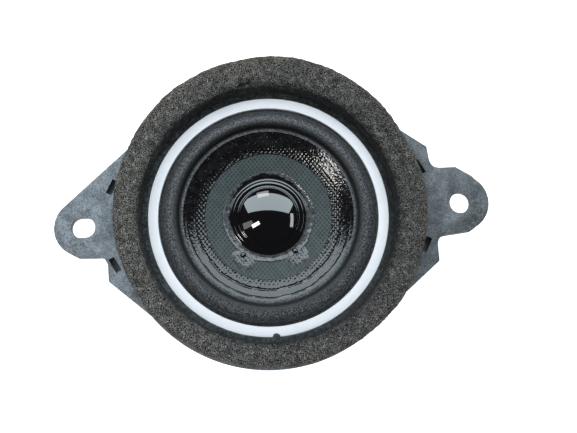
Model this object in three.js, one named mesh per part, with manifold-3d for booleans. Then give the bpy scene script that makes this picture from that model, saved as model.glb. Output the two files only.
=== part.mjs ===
// A car dash speaker of the 3.5 inch class: moulded frame with two screw ears, foam seal, cone and motor.
// Millimetres. +Z is the speaker's axis and points out of its front. The origin is the centre of the
// motor's flat back. +X runs through both screw ears, towards the round hole.
import * as THREE from "three";
import { mergeVertices } from "three/addons/utils/BufferGeometryUtils.js";
import Module from "manifold-3d";

const wasm = await Module();
wasm.setup();

// Driving dimensions

const TURN_STEPS = 48; // flats round every turned piece
const FINE_GAP = 0.1; // between coaxial pieces that touch on the real speaker
const GAP = 0.3; // between other pieces that touch
const MERGE_DISTANCE = 1e-3;

// Ears and flange
const EAR_TOP = 30;
const EAR_THICKNESS = 2.5;
const EAR_BOTTOM = EAR_TOP - EAR_THICKNESS;
const EAR_ROOT_X = 36; // the ears start here, inside the flange
const EAR_END_RADIUS = 8.05;
const ROUND_HOLE_X = 54;
const ROUND_HOLE_RADIUS = 2.9;
const SLOT_X = -52;
const SLOT_HALF_WIDTH = 2.8;
const SLOT_HALF_LENGTH = 3.4;
const POCKET = { x: 43.5, y: 11, length: 4.3, width: 1.7, tilt: THREE.MathUtils.degToRad(62) };
const FLANGE_RADIUS = 42.8;

// Clamp ring and the recess it lies in
const RECESS_RADIUS = 33.9;
const RECESS_FLOOR = 28;
const CLAMP_RING = { inner: 30.8, outer: 33.7, bottom: 28.8, top: 29.8 };
const KEY_RADIUS = 0.9;
const KEY_CLEARANCE = 0.3;

// Rear bowl, spider ledge and motor seat
const BOWL_MOUTH = 29.6; // inner radius under the recess
const BOWL_WALL = 2.4;
const LEDGE_RADIUS = 21.6;
const LEDGE_TOP = 18.4;
const LEDGE_BORE = 18.9;
const HUB_RADIUS = 18.6;
const HUB_BOTTOM = 9.5;
const SEAT_BORE = 12.2;
const SEAT_THICKNESS = 1.3;
const WINDOW_COUNT = 6; // evenly spaced places, one of which holds the terminal board
const WINDOW = { width: 13, bottom: 19.6, top: 26.4, corner: 1.6 };
const GUSSET = { y: 4.5, thickness: 1.8, reach: 47, drop: 6 };

// Motor
const YOKE = { radius: 15.5, bore: 11.3, height: 13, floor: 4 };
const MAGNET_RADIUS = 9.4;
const POLE_PLATE = { radius: 9.55, thickness: 3.9 };

// Moving assembly
const FORMER = { inner: 9.9, outer: 10.15, bottom: 6.9, top: 26.4 };
const WINDING = { outer: 10.75, bottom: 8, top: 14 };
const CONE = { neck: 10.35, neckZ: 26.55, lip: 25.2, lipZ: 30.15, thickness: 0.4 };
const CONE_LIP_FLAT = 24;
const CAP = { rim: 10.75, step: 8.7, rimHeight: 1.1, groove: 0.6, domeRise: 2.9, thickness: 0.4 };
const CAP_GLUE = { inner: 11.25, outer: 12.5, height: 0.7 };
const LEAD_SPREAD = THREE.MathUtils.degToRad(33); // each side of -Y
const LEAD_RADIUS_ON_CONE = 13.3;
const LEAD_GLUE = { radius: 2.7, height: 1.2 };

// Soft parts
const SURROUND = { lipZ: 28.45, outer: 32.7, rollOuter: 30.1, rollInner: 25.3, inner: 24.1, rise: 2.7 };
const SURROUND_THICKNESS = 0.5;
const SPIDER = { inner: 10.35, outer: 21.3, z: 18.95, wave: 0.7, waves: 3, thickness: 0.4 };
const FOAM = { inner: 35.7, outer: 42.3, bottom: EAR_TOP + GAP, top: 38, round: 1.3, bulge: 0.2 };

// Terminals
const TERMINAL = { x: 3.2, z: 22, width: 2.4, thickness: 0.6, inner: -21.6, outer: -37.2 };
const BOARD = { halfWidth: 8.5, inner: -24.5, outer: -31.4, bottom: 18, top: 25.5 };
const SOCKET = { halfWidth: 7.4, halfHeight: 4.4, depth: 10.4, wall: 1.4, back: 2.2 };
const LEAD_THICKNESS = 0.9;

// Shape helpers

function toSolid(geometry) {
  const bare = geometry.index ? geometry.toNonIndexed() : geometry.clone();
  bare.deleteAttribute("normal");
  bare.deleteAttribute("uv");
  const merged = mergeVertices(bare, MERGE_DISTANCE);
  const corners = merged.index.array;
  const kept = [];
  for (let i = 0; i < corners.length; i += 3) {
    const [a, b, c] = corners.slice(i, i + 3);
    if (a !== b && b !== c && c !== a) kept.push(a, b, c);
  }
  return new wasm.Manifold(
    new wasm.Mesh({
      numProp: 3,
      vertProperties: merged.attributes.position.array,
      triVerts: new Uint32Array(kept),
    }),
  );
}

function toGeometry(solid) {
  const mesh = solid.getMesh();
  const geometry = new THREE.BufferGeometry();
  geometry.setAttribute("position", new THREE.BufferAttribute(mesh.vertProperties, 3));
  geometry.setIndex(new THREE.BufferAttribute(mesh.triVerts, 1));
  geometry.computeVertexNormals();
  return geometry;
}

// A ring or disc about Z. Its outline is a list of [radius, z], counter-clockwise with the radius to the right.
function turned(outline, steps = TURN_STEPS) {
  const points = outline.map(([radius, z]) => new THREE.Vector2(radius, z));
  const onAxis = outline[0][0] === 0 && outline[outline.length - 1][0] === 0;
  if (!onAxis) points.push(points[0].clone());
  return new THREE.LatheGeometry(points, steps).rotateX(Math.PI / 2);
}

function tube(inner, outer, bottom, top) {
  return turned([
    [inner, bottom],
    [outer, bottom],
    [outer, top],
    [inner, top],
  ]);
}

// The outline of a thin turned sheet, from its middle line, which runs outwards from the axis.
function sheetOutline(line, thickness) {
  const below = [];
  const above = [];
  line.forEach(([radius, z], i) => {
    const before = line[Math.max(i - 1, 0)];
    const after = line[Math.min(i + 1, line.length - 1)];
    const along = new THREE.Vector2(after[0] - before[0], after[1] - before[1]).normalize();
    const side = thickness / 2;
    const onAxis = radius === 0;
    const dr = onAxis ? 0 : along.y * side;
    const dz = onAxis ? side : along.x * side;
    below.push([radius + dr, z - dz]);
    above.unshift([radius - dr, z + dz]);
  });
  return [...below, ...above];
}

function box(low, high) {
  const size = high.map((value, i) => value - low[i]);
  const middle = high.map((value, i) => (value + low[i]) / 2);
  return new THREE.BoxGeometry(...size).translate(...middle);
}

// A flat shape in X and Y, raised from one height to another.
function raised(shape, bottom, top, curveSegments = 10) {
  const settings = { depth: top - bottom, bevelEnabled: false, curveSegments };
  return new THREE.ExtrudeGeometry(shape, settings).translate(0, 0, bottom);
}

function pillar(radius, x, y, bottom, top, sides = 32) {
  const cylinder = new THREE.CylinderGeometry(radius, radius, top - bottom, sides);
  return cylinder.rotateX(Math.PI / 2).translate(x, y, (top + bottom) / 2);
}

// The height of the cone's middle line at a radius.
function coneHeight(radius) {
  const along = (Math.min(radius, CONE_LIP_FLAT) - CONE.neck) / (CONE_LIP_FLAT - CONE.neck);
  return THREE.MathUtils.lerp(CONE.neckZ, CONE.lipZ, along);
}

// Everything under a surface that stands a little above the cone.
function underCone(clearance) {
  const top = CONE.thickness / 2 + clearance;
  return turned([
    [0, 0],
    [CONE.lip, 0],
    [CONE.lip, coneHeight(CONE.lip) + top],
    [CONE_LIP_FLAT, coneHeight(CONE_LIP_FLAT) + top],
    [CONE.neck, coneHeight(CONE.neck) + top],
    [0, coneHeight(CONE.neck) + top],
  ]);
}

// Basket

function rightEar() {
  const shape = new THREE.Shape();
  shape.moveTo(EAR_ROOT_X, 24.4);
  shape.lineTo(46.1, 16.7);
  shape.lineTo(46.4, 13.4);
  shape.quadraticCurveTo(46.6, 10.5, 49.3, 10.4);
  shape.lineTo(53.7, 10.3);
  shape.lineTo(58, 7.4);
  shape.absarc(ROUND_HOLE_X, 0, EAR_END_RADIUS, Math.PI * 0.3, -Math.PI * 0.3, true);
  shape.lineTo(56, -8.3);
  shape.lineTo(49.2, -8.9);
  shape.quadraticCurveTo(46.7, -9, 46.7, -11.5);
  shape.lineTo(46.7, -15.9);
  shape.lineTo(EAR_ROOT_X, -24.6);
  const hole = new THREE.Path();
  hole.absarc(ROUND_HOLE_X, 0, ROUND_HOLE_RADIUS, 0, Math.PI * 2);
  shape.holes.push(hole);
  return shape;
}

function leftEar() {
  const shape = new THREE.Shape();
  shape.moveTo(-EAR_ROOT_X, -24.2);
  shape.lineTo(-45.4, -15.6);
  shape.lineTo(-45.5, -11);
  shape.quadraticCurveTo(-45.6, -8.9, -47.4, -8.8);
  shape.lineTo(-53.6, -8.5);
  shape.absarc(SLOT_X - 0.1, 0, EAR_END_RADIUS, Math.PI * 1.32, Math.PI * 0.722, true);
  shape.lineTo(-EAR_ROOT_X, 23.8);
  const slot = new THREE.Path();
  const straight = SLOT_HALF_LENGTH - SLOT_HALF_WIDTH;
  slot.absarc(SLOT_X + straight, 0, SLOT_HALF_WIDTH, -Math.PI / 2, Math.PI / 2);
  slot.absarc(SLOT_X - straight, 0, SLOT_HALF_WIDTH, Math.PI / 2, Math.PI * 1.5);
  shape.holes.push(slot);
  return shape;
}

// The four narrow slots where the ears meet the flange.
function earPockets() {
  const cuts = [];
  for (const sideX of [-1, 1]) {
    for (const sideY of [-1, 1]) {
      const cut = new THREE.BoxGeometry(POCKET.length, POCKET.width, 3 * EAR_THICKNESS);
      cut.rotateZ(-sideX * sideY * POCKET.tilt);
      cuts.push(cut.translate(sideX * POCKET.x, sideY * POCKET.y, EAR_TOP));
    }
  }
  return cuts;
}

// A rib in the XZ plane that carries the ear on the bowl.
function gusset(sideX, y) {
  const shape = new THREE.Shape();
  shape.moveTo(30.4, EAR_BOTTOM + GAP);
  shape.lineTo(24.4, EAR_BOTTOM - GUSSET.drop);
  shape.lineTo(GUSSET.reach - 2, EAR_BOTTOM - 2);
  shape.lineTo(GUSSET.reach, EAR_BOTTOM + GAP);
  const rib = raised(shape, -GUSSET.thickness / 2, GUSSET.thickness / 2).rotateX(Math.PI / 2);
  return (sideX > 0 ? rib : rib.rotateZ(Math.PI)).translate(0, y, 0);
}

function windowCut(angle) {
  const halfWidth = WINDOW.width / 2;
  const shape = new THREE.Shape();
  shape.moveTo(-halfWidth, WINDOW.bottom + WINDOW.corner);
  shape.lineTo(-halfWidth + WINDOW.corner, WINDOW.bottom);
  shape.lineTo(halfWidth - WINDOW.corner, WINDOW.bottom);
  shape.lineTo(halfWidth, WINDOW.bottom + WINDOW.corner);
  shape.lineTo(halfWidth, WINDOW.top - WINDOW.corner);
  shape.lineTo(halfWidth - WINDOW.corner, WINDOW.top);
  shape.lineTo(-halfWidth + WINDOW.corner, WINDOW.top);
  shape.lineTo(-halfWidth, WINDOW.top - WINDOW.corner);
  const cut = raised(shape, SEAT_BORE, FLANGE_RADIUS).rotateX(Math.PI / 2);
  return cut.rotateZ(angle + Math.PI / 2);
}

function pinHole(x) {
  const halfWidth = TERMINAL.width / 2 + GAP;
  const halfHeight = TERMINAL.thickness / 2 + GAP;
  return box(
    [x - halfWidth, -FLANGE_RADIUS, TERMINAL.z - halfHeight],
    [x + halfWidth, TERMINAL.inner, TERMINAL.z + halfHeight],
  );
}

function basketGeometry() {
  const wallFoot = LEDGE_TOP + 1.2;
  const body = turned([
    [YOKE.radius + GAP, HUB_BOTTOM],
    [HUB_RADIUS - 0.4, HUB_BOTTOM],
    [HUB_RADIUS, LEDGE_TOP - 2.9],
    [LEDGE_RADIUS + 0.8, LEDGE_TOP - 1.8],
    [BOWL_MOUTH + BOWL_WALL, EAR_BOTTOM],
    [FLANGE_RADIUS, EAR_BOTTOM],
    [FLANGE_RADIUS, EAR_TOP],
    [RECESS_RADIUS, EAR_TOP],
    [RECESS_RADIUS, RECESS_FLOOR],
    [BOWL_MOUTH, RECESS_FLOOR],
    [BOWL_MOUTH, EAR_BOTTOM],
    [LEDGE_RADIUS, wallFoot],
    [LEDGE_RADIUS, LEDGE_TOP],
    [LEDGE_BORE, LEDGE_TOP],
    [LEDGE_BORE - 1.5, LEDGE_TOP - 2.9],
    [SEAT_BORE, YOKE.height + GAP + SEAT_THICKNESS],
    [SEAT_BORE, YOKE.height + GAP],
    [YOKE.radius + GAP, YOKE.height + GAP],
  ]);
  const additions = [
    raised(rightEar(), EAR_BOTTOM, EAR_TOP, 16),
    raised(leftEar(), EAR_BOTTOM, EAR_TOP, 16),
    box(
      [-BOARD.halfWidth, BOARD.outer, BOARD.bottom],
      [BOARD.halfWidth, BOARD.inner, BOARD.top],
    ),
    pillar(KEY_RADIUS, 0, -RECESS_RADIUS, EAR_BOTTOM, EAR_TOP - GAP, 16),
  ];
  const throughCuts = [pinHole(-TERMINAL.x), pinHole(TERMINAL.x), ...earPockets()];
  const windows = [];
  for (const sideX of [-1, 1]) {
    additions.push(gusset(sideX, -GUSSET.y), gusset(sideX, GUSSET.y));
  }
  const terminalPlace = (3 * Math.PI) / 2;
  for (let i = 0; i < WINDOW_COUNT; i++) {
    const angle = Math.PI / 6 + (i * 2 * Math.PI) / WINDOW_COUNT;
    if (Math.abs(angle - terminalPlace) > 0.1) windows.push(windowCut(angle));
  }
  let solid = toSolid(body);
  for (const cut of windows) solid = solid.subtract(toSolid(cut));
  for (const addition of additions) solid = solid.add(toSolid(addition));
  for (const cut of throughCuts) solid = solid.subtract(toSolid(cut));
  return toGeometry(solid);
}

// Front pieces on the basket

function foamGeometry() {
  const middle = (FOAM.bottom + FOAM.top) / 2;
  return turned([
    [FOAM.inner, FOAM.bottom],
    [FOAM.outer - FOAM.bulge, FOAM.bottom],
    [FOAM.outer, middle],
    [FOAM.outer - FOAM.bulge, FOAM.top - FOAM.round],
    [FOAM.outer - FOAM.round, FOAM.top],
    [FOAM.inner + FOAM.round, FOAM.top],
    [FOAM.inner, FOAM.top - FOAM.round],
  ]);
}

function clampRingGeometry() {
  const ring = tube(CLAMP_RING.inner, CLAMP_RING.outer, CLAMP_RING.bottom, CLAMP_RING.top);
  const notch = pillar(KEY_RADIUS + KEY_CLEARANCE, 0, -RECESS_RADIUS, EAR_BOTTOM, EAR_TOP, 16);
  return toGeometry(toSolid(ring).subtract(toSolid(notch)));
}

function surroundGeometry() {
  const innerZ = CONE.lipZ + (CONE.thickness + SURROUND_THICKNESS) / 2 + FINE_GAP;
  const line = [[SURROUND.inner, innerZ]];
  const steps = 8;
  for (let i = 0; i <= steps; i++) {
    const turn = (Math.PI * i) / steps;
    const across = (1 - Math.cos(turn)) / 2;
    const radius = THREE.MathUtils.lerp(SURROUND.rollInner, SURROUND.rollOuter, across);
    const base = THREE.MathUtils.lerp(innerZ, SURROUND.lipZ, across);
    line.push([radius, base + SURROUND.rise * Math.sin(turn)]);
  }
  line.push([SURROUND.outer, SURROUND.lipZ]);
  return turned(sheetOutline(line, SURROUND_THICKNESS));
}

// Moving assembly

function coneGeometry() {
  const line = [
    [CONE.neck + CONE.thickness / 2, CONE.neckZ],
    [CONE_LIP_FLAT, CONE.lipZ],
    [CONE.lip - CONE.thickness / 2, CONE.lipZ],
  ];
  return turned(sheetOutline(line, CONE.thickness));
}

function capGeometry() {
  const foot = coneHeight(CAP.rim) + CONE.thickness / 2 + CAP.thickness / 2 + FINE_GAP;
  const top = foot + CAP.rimHeight;
  const line = [];
  const steps = 4;
  for (let i = 0; i <= steps; i++) {
    const radius = (CAP.step * i) / steps;
    line.push([radius, top + CAP.domeRise * (1 - (radius / CAP.step) ** 2)]);
  }
  line.push([(CAP.step + CAP.rim) / 2 - 0.2, top - CAP.groove]);
  line.push([CAP.rim - CAP.thickness, top]);
  line.push([CAP.rim, foot + CAP.thickness]);
  return turned(sheetOutline(line, CAP.thickness));
}

function capGlueGeometry() {
  const { inner, outer, height } = CAP_GLUE;
  const under = CONE.thickness / 2 + FINE_GAP;
  const middle = (inner + outer) / 2;
  return turned([
    [inner, coneHeight(inner) + under],
    [outer, coneHeight(outer) + under],
    [middle, coneHeight(middle) + under + height / 2],
    [inner, coneHeight(inner) + under + height],
  ]);
}

function leadAngle(sideX) {
  return -Math.PI / 2 + sideX * LEAD_SPREAD;
}

function leadPlace(sideX) {
  const angle = leadAngle(sideX);
  return [LEAD_RADIUS_ON_CONE * Math.cos(angle), LEAD_RADIUS_ON_CONE * Math.sin(angle)];
}

function leadGlueGeometry(sideX) {
  const [x, y] = leadPlace(sideX);
  const drop = new THREE.SphereGeometry(LEAD_GLUE.radius, 16, 10);
  drop.scale(1, 1, LEAD_GLUE.height / LEAD_GLUE.radius);
  drop.translate(x, y, coneHeight(LEAD_RADIUS_ON_CONE) + CONE.thickness / 2);
  const capRoom = disc(CAP_GLUE.outer + FINE_GAP, 0, FOAM.top);
  return toGeometry(toSolid(drop).subtract(toSolid(underCone(FINE_GAP))).subtract(toSolid(capRoom)));
}

function spiderGeometry() {
  const line = [];
  const rollInner = SPIDER.inner + 1.4;
  const rollOuter = LEDGE_BORE + 0.2;
  const steps = 4 * SPIDER.waves;
  line.push([SPIDER.inner + SPIDER.thickness / 2, SPIDER.z + 0.2]);
  for (let i = 0; i <= steps; i++) {
    const radius = THREE.MathUtils.lerp(rollInner, rollOuter, i / steps);
    line.push([radius, SPIDER.z + SPIDER.wave * Math.sin((2 * Math.PI * SPIDER.waves * i) / steps)]);
  }
  line.push([SPIDER.outer, SPIDER.z]);
  return turned(sheetOutline(line, SPIDER.thickness));
}

// Motor

function yokeGeometry() {
  const edge = 0.5;
  return turned([
    [0, 0],
    [YOKE.radius - edge, 0],
    [YOKE.radius, edge],
    [YOKE.radius, YOKE.height],
    [YOKE.bore, YOKE.height],
    [YOKE.bore, YOKE.floor],
    [0, YOKE.floor],
  ]);
}

function disc(radius, bottom, top) {
  return turned([
    [0, bottom],
    [radius, bottom],
    [radius, top],
    [0, top],
  ]);
}

function yokeGlueGeometry() {
  const inner = YOKE.radius + FINE_GAP;
  return turned([
    [inner, HUB_BOTTOM - 1.8],
    [inner + 0.5, HUB_BOTTOM - 1.6],
    [inner + 1.7, HUB_BOTTOM - FINE_GAP],
    [inner, HUB_BOTTOM - FINE_GAP],
  ]);
}

// Terminals and leads

function terminalGeometry(x) {
  return box(
    [x - TERMINAL.width / 2, TERMINAL.outer, TERMINAL.z - TERMINAL.thickness / 2],
    [x + TERMINAL.width / 2, TERMINAL.inner, TERMINAL.z + TERMINAL.thickness / 2],
  );
}

function solderGeometry(x) {
  const tabTop = TERMINAL.z + TERMINAL.thickness / 2;
  const drop = new THREE.SphereGeometry(1.1, 14, 8).scale(1, 1, 0.9);
  drop.translate(x, TERMINAL.inner - 1.2, tabTop + 0.2);
  const tab = box([x - 5, -FLANGE_RADIUS, 0], [x + 5, 0, tabTop + FINE_GAP]);
  return toGeometry(toSolid(drop).subtract(toSolid(tab)));
}

function connectorGeometry() {
  const rear = BOARD.outer - GAP;
  const mouth = rear - SOCKET.depth;
  const { halfWidth, halfHeight, wall, back } = SOCKET;
  const shell = box(
    [-halfWidth, mouth, TERMINAL.z - halfHeight],
    [halfWidth, rear, TERMINAL.z + halfHeight],
  );
  const room = box(
    [-halfWidth + wall, mouth - 1, TERMINAL.z - halfHeight + wall],
    [halfWidth - wall, rear - back, TERMINAL.z + halfHeight - wall],
  );
  const latch = box(
    [-2, mouth + 2, TERMINAL.z - halfHeight - 0.9],
    [2, mouth + 4, TERMINAL.z - halfHeight + wall / 2],
  );
  let solid = toSolid(shell).add(toSolid(latch)).subtract(toSolid(room));
  for (const x of [-TERMINAL.x, TERMINAL.x]) solid = solid.subtract(toSolid(pinHole(x)));
  return toGeometry(solid);
}

// From under the cone, in a slack bow over the spider, down to the solder joint.
function leadGeometry(sideX) {
  const [x, y] = leadPlace(sideX);
  const start = coneHeight(LEAD_RADIUS_ON_CONE) - CONE.thickness / 2 - 0.9;
  const joint = TERMINAL.z + TERMINAL.thickness / 2 + 1.75;
  const route = new THREE.CatmullRomCurve3([
    new THREE.Vector3(x, y, start),
    new THREE.Vector3(x, y - 0.8, start - 1.9),
    new THREE.Vector3(x * 0.85, y - 4.2, start - 3.4),
    new THREE.Vector3(x * 0.6, y - 8.2, start - 2.2),
    new THREE.Vector3(sideX * TERMINAL.x, TERMINAL.inner - 1.2, joint),
  ]);
  const section = new THREE.Shape();
  section.absarc(0, 0, LEAD_THICKNESS / 2, 0, Math.PI * 2);
  return new THREE.ExtrudeGeometry(section, { steps: 14, curveSegments: 8, extrudePath: route });
}

// Materials

function plastic(color, roughness) {
  return new THREE.MeshStandardMaterial({ color, roughness, metalness: 0 });
}

function metal(color, roughness) {
  return new THREE.MeshStandardMaterial({ color, roughness, metalness: 1 });
}

const materials = {
  frame: plastic(0x6a7378, 0.55),
  foam: plastic(0x55534e, 0.95),
  ring: plastic(0xe6e8ee, 0.5),
  rubber: plastic(0x2b2d2f, 0.8),
  weave: plastic(0x3a4038, 0.6),
  gloss: plastic(0x0b0c0e, 0.12),
  glue: plastic(0x15171a, 0.2),
  paper: plastic(0xb08a4a, 0.7),
  cloth: plastic(0xc8a861, 0.85),
  connector: plastic(0x1b1c1e, 0.5),
  steel: metal(0x9aa0a3, 0.4),
  magnet: metal(0xb9bcbf, 0.25),
  copper: metal(0xb5673a, 0.35),
  tin: metal(0xc9ccd0, 0.3),
};

// Assembly

const speaker = new THREE.Group();
const fixed = new THREE.Group();
const moving = new THREE.Group();
speaker.add(fixed, moving);

function place(group, name, geometry, material) {
  const mesh = new THREE.Mesh(geometry, material);
  mesh.name = name;
  group.add(mesh);
}

place(fixed, "basket", basketGeometry(), materials.frame);
place(fixed, "foam_gasket", foamGeometry(), materials.foam);
place(fixed, "clamp_ring", clampRingGeometry(), materials.ring);
place(fixed, "surround", surroundGeometry(), materials.rubber);
place(fixed, "spider", spiderGeometry(), materials.cloth);
place(fixed, "yoke", yokeGeometry(), materials.steel);
place(fixed, "yoke_glue", yokeGlueGeometry(), materials.glue);

const magnetBottom = YOKE.floor + FINE_GAP;
const plateBottom = YOKE.height - POLE_PLATE.thickness;
place(fixed, "magnet", disc(MAGNET_RADIUS, magnetBottom, plateBottom - FINE_GAP), materials.magnet);
place(fixed, "pole_plate", disc(POLE_PLATE.radius, plateBottom, YOKE.height), materials.steel);
place(fixed, "connector_housing", connectorGeometry(), materials.connector);

place(moving, "cone", coneGeometry(), materials.weave);
place(moving, "dust_cap", capGeometry(), materials.gloss);
place(moving, "cap_glue", capGlueGeometry(), materials.glue);
const former = tube(FORMER.inner, FORMER.outer, FORMER.bottom, FORMER.top);
place(moving, "voice_coil_former", former, materials.paper);
const winding = tube(FORMER.outer + FINE_GAP / 2, WINDING.outer, WINDING.bottom, WINDING.top);
place(moving, "voice_coil_winding", winding, materials.copper);

for (const [side, sideX] of [["left", -1], ["right", 1]]) {
  const x = sideX * TERMINAL.x;
  place(moving, "lead_glue_" + side, leadGlueGeometry(sideX), materials.glue);
  place(fixed, "tinsel_lead_" + side, leadGeometry(sideX), materials.copper);
  place(fixed, "terminal_" + side, terminalGeometry(x), materials.tin);
  place(fixed, "solder_" + side, solderGeometry(x), materials.tin);
}

export default speaker;
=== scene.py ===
import math

import bmesh
import bpy
import numpy as np
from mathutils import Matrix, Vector


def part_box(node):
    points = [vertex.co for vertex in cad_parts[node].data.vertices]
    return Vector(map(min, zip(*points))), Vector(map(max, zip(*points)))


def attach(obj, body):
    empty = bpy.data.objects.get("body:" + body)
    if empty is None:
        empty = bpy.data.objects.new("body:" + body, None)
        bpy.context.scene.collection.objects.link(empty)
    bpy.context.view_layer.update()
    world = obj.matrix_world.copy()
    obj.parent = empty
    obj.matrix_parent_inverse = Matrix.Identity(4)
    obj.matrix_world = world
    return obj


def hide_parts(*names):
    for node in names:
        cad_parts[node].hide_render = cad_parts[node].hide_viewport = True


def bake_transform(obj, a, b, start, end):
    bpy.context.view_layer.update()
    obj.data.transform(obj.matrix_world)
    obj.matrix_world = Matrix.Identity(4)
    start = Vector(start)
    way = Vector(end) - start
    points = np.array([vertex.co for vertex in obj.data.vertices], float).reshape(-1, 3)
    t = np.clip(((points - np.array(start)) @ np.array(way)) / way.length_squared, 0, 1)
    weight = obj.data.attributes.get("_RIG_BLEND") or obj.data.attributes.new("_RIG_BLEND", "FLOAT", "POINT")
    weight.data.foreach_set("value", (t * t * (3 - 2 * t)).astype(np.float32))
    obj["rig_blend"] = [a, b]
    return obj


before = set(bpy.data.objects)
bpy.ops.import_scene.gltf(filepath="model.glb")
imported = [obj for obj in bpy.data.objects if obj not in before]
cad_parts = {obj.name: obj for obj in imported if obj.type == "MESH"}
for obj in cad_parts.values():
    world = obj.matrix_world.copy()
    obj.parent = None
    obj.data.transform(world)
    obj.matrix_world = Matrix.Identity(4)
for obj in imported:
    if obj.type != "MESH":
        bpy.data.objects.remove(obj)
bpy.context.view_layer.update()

# Lengths in this script are millimetres, turned into metres where a mesh is made.
MM = 0.001


def node_box(node):
    """Lowest and highest corner of a CAD node, in millimetres."""
    low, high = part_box(node)
    return low / MM, high / MM


# Driving dimensions, from the frame

BASKET_HIGH = node_box("basket")[1]
FOAM_HIGH = node_box("foam_gasket")[1]
RING_LOW, RING_HIGH = node_box("clamp_ring")
SURROUND_LOW = node_box("surround")[0]
CONE_LOW = node_box("cone")[0]
CAP_HIGH = node_box("dust_cap")[1]
YOKE_HIGH = node_box("yoke")[1]
HOUSING_LOW, HOUSING_HIGH = node_box("connector_housing")
EAR_TOP = BASKET_HIGH.z

# Camera and light

FOCAL_LENGTH = 52.43
SENSOR_WIDTH = 36.0
CAMERA_AZIMUTH = math.radians(-3.85)
CAMERA_ELEVATION = math.radians(81.8)
CAMERA_DISTANCE = 236.0
CAMERA_SHIFT = (0.0348354, -0.0015598)  # in widths of the picture
AIM = Vector((0, 0, 29.7))


def new_object(name, data):
    item = bpy.data.objects.new(name, data)
    bpy.context.scene.collection.objects.link(item)
    return item


def point(item, place, back):
    """Puts a camera or light at a place in metres, looking against the direction back."""
    item.location = place
    item.rotation_mode = "QUATERNION"
    item.rotation_quaternion = (-back).to_track_quat("-Z", "Y")


def make_camera():
    data = bpy.data.cameras.new("camera")
    data.lens = FOCAL_LENGTH
    data.sensor_width = SENSOR_WIDTH
    data.shift_x, data.shift_y = CAMERA_SHIFT
    data.clip_start = 0.005
    a, e = CAMERA_AZIMUTH, CAMERA_ELEVATION
    back = Vector((math.sin(a) * math.cos(e), -math.cos(a) * math.cos(e), math.sin(e)))
    camera = new_object("camera", data)
    point(camera, (AIM + back * CAMERA_DISTANCE) * MM, back)
    bpy.context.scene.camera = camera


def make_panel(name, toward_x, toward_y, distance, size, radiance, colour, mirrored=True, lights_matte=True):
    """A soft rectangular light. toward_x and toward_y are its angles from straight up, in degrees."""
    tilt = Vector((math.tan(math.radians(toward_x)), math.tan(math.radians(toward_y)), 1))
    place = tilt.normalized() * distance
    data = bpy.data.lights.new(name, "AREA")
    data.shape = "RECTANGLE"
    data.size, data.size_y = size
    data.energy = radiance * math.pi * size[0] * size[1]
    data.color = colour
    light = new_object(name, data)
    point(light, place, place)
    light.visible_glossy = mirrored
    light.visible_diffuse = lights_matte


def make_lights():
    """Panels that gloss mirrors, and wide fills for the matte surfaces."""
    cool = (0.93, 0.97, 1.0)
    sky = (0.8, 0.93, 1.0)
    make_panel("ceiling_panel", 4, 43, 1.0, (2.6, 0.82), 5.6, sky, lights_matte=False)
    make_panel("ceiling_corner", -16, 64, 1.0, (0.4, 0.22), 4.0, (0.97, 0.96, 1.0), lights_matte=False)
    make_panel("left_lamp", -34, -15, 0.9, (0.13, 0.3), 26.0, (1.0, 0.99, 0.96), lights_matte=False)
    make_panel("left_wall", -52, -14, 0.9, (0.2, 0.34), 2.0, (1.0, 0.99, 0.96), lights_matte=False)
    make_panel("right_window", 58, -8, 0.9, (0.45, 0.1), 6.0, cool, lights_matte=False)
    make_panel("key_fill", -12, 34, 1.0, (1.4, 0.9), 1.2, cool, mirrored=False)
    make_panel("near_fill", 4, -26, 1.0, (1.2, 0.6), 0.9, cool, mirrored=False)
    make_panel("overhead_fill", 0, 0, 0.9, (1.3, 1.0), 1.75, cool, mirrored=False)
    world = bpy.data.worlds.new("studio")
    world.use_nodes = True
    background = world.node_tree.nodes["Background"]
    background.inputs["Color"].default_value = (0.95, 0.97, 1.0, 1)
    background.inputs["Strength"].default_value = 0.06
    bpy.context.scene.world = world
    bpy.context.scene.view_settings.view_transform = "Standard"


make_camera()
make_lights()

# Material helpers

WEAVE_PITCH = (1.2, 1.46)  # along each thread; crests are staggered, half a pitch apart
WEAVE_TURN = math.radians(4)
WHITE = (1, 1, 1)
BLACK = (0, 0, 0)


def new_material(name):
    material = bpy.data.materials.new(name)
    material.use_nodes = True
    tree = material.node_tree
    return material, tree, tree.nodes["Principled BSDF"]


def fill(tree, node, inputs):
    """Sets or links inputs of a node, by their names or places."""
    for key, value in inputs.items():
        if isinstance(value, bpy.types.NodeSocket):
            tree.links.new(value, node.inputs[key])
        else:
            node.inputs[key].default_value = value


def add(tree, kind, settings=None, inputs=None):
    """A shader node with its settings and the values or links of its inputs."""
    node = tree.nodes.new(kind)
    for key, value in (settings or {}).items():
        setattr(node, key, value)
    fill(tree, node, inputs or {})
    return node


def place_in_mm(tree, turn=0.0, stretch=(1, 1, 1)):
    """The point on the object, in millimetres of the frame."""
    coordinate = add(tree, "ShaderNodeTexCoord")
    scale = [s / MM for s in stretch]
    inputs = {"Vector": coordinate.outputs["Object"], "Scale": scale, "Rotation": (0, 0, turn)}
    return add(tree, "ShaderNodeMapping", inputs=inputs).outputs["Vector"]


def noise_of(tree, where, size, detail=3.0, roughness=0.55):
    """Noise whose features are about size millimetres across."""
    inputs = {"Vector": where, "Scale": 1 / size, "Detail": detail, "Roughness": roughness}
    return add(tree, "ShaderNodeTexNoise", inputs=inputs).outputs["Fac"]


def cells_of(tree, where, size):
    """Distance to the walls of cells about size millimetres across."""
    inputs = {"Vector": where, "Scale": 1 / size}
    return add(tree, "ShaderNodeTexVoronoi", {"feature": "DISTANCE_TO_EDGE"}, inputs).outputs["Distance"]


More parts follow.
